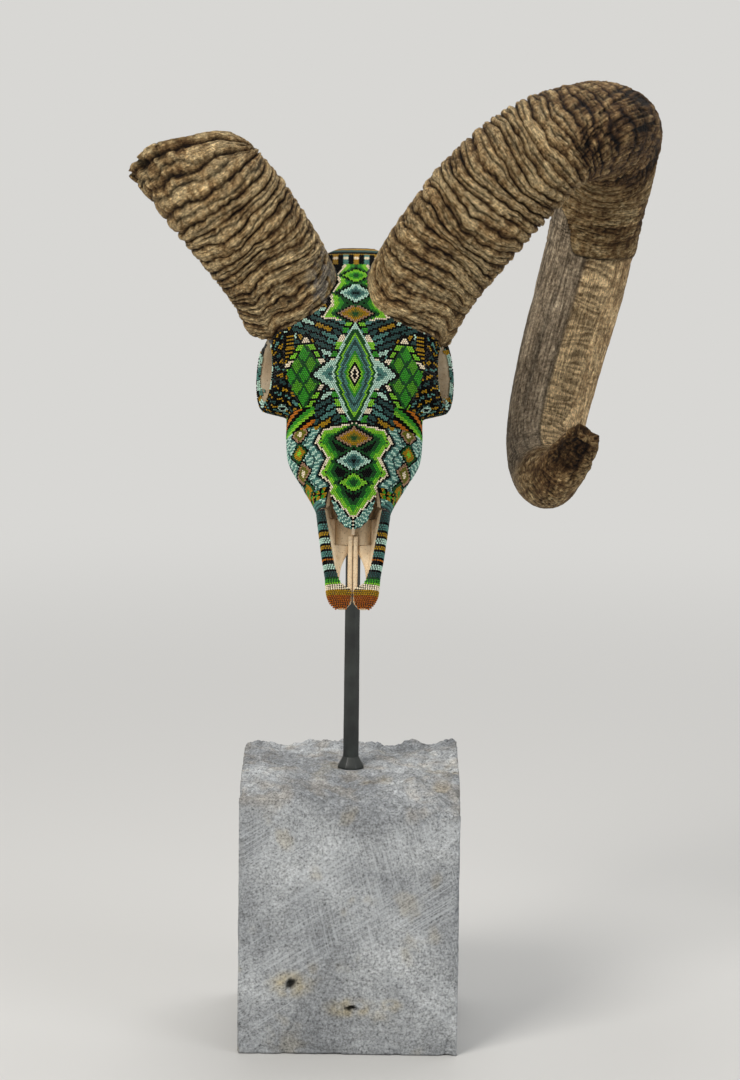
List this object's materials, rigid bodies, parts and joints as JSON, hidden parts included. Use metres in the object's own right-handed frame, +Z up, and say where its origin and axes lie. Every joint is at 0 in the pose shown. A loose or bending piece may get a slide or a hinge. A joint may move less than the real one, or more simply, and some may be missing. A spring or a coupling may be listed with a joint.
{
  "type": "huichol beaded ram skull",
  "caption": "Ram skull with curled ridged horns, face covered in a seed bead mosaic, held on a faceted steel rod in a rough limestone block.",
  "frame": {"origin": "centre of the stone block's underside", "axes": "+Z up, the face looks along -Y, the whole horn is on the +X side"},
  "size_m": [0.3795, 0.2501, 0.6873],
  "materials": {
    "limestone": "sawn and split",
    "resin": "cast",
    "black_steel": "satin black",
    "bone": "dry bone",
    "enamel": "tooth enamel",
    "horn": "rough keratin",
    "beads": "opaque glass beads in wax"
  },
  "bodies": {
    "root": {"stone_block": "limestone", "anchor_resin": "resin", "foot_collar": "black_steel", "support_rod": "black_steel", "braincase_fill": "resin", "frontal_bone": "bone", "occipital_bone": "bone", "skull_base": "bone", "hard_palate": "bone", "vomer": "bone", "nasal_bone_left": "bone", "nasal_bone_right": "bone", "maxilla_left": "bone", "maxilla_right": "bone", "orbit_bone_left": "bone", "orbit_bone_right": "bone", "temporal_bone_left": "bone", "temporal_bone_right": "bone", "pterygoid_left": "bone", "pterygoid_right": "bone", "premaxilla_left": "bone", "premaxilla_right": "bone", "horn_core_left": "bone", "horn_core_right": "bone", "cheek_teeth_left": "enamel", "cheek_teeth_right": "enamel", "horn_sheath_left": "horn", "horn_sheath_right": "horn", "beadwork_forehead": "beads", "beadwork_nose": "beads", "beadwork_cheek_left": "beads", "beadwork_cheek_right": "beads", "beadwork_orbit_left": "beads", "beadwork_orbit_right": "beads", "beadwork_muzzle_left": "beads", "beadwork_muzzle_right": "beads"}
  },
  "joints": []
}
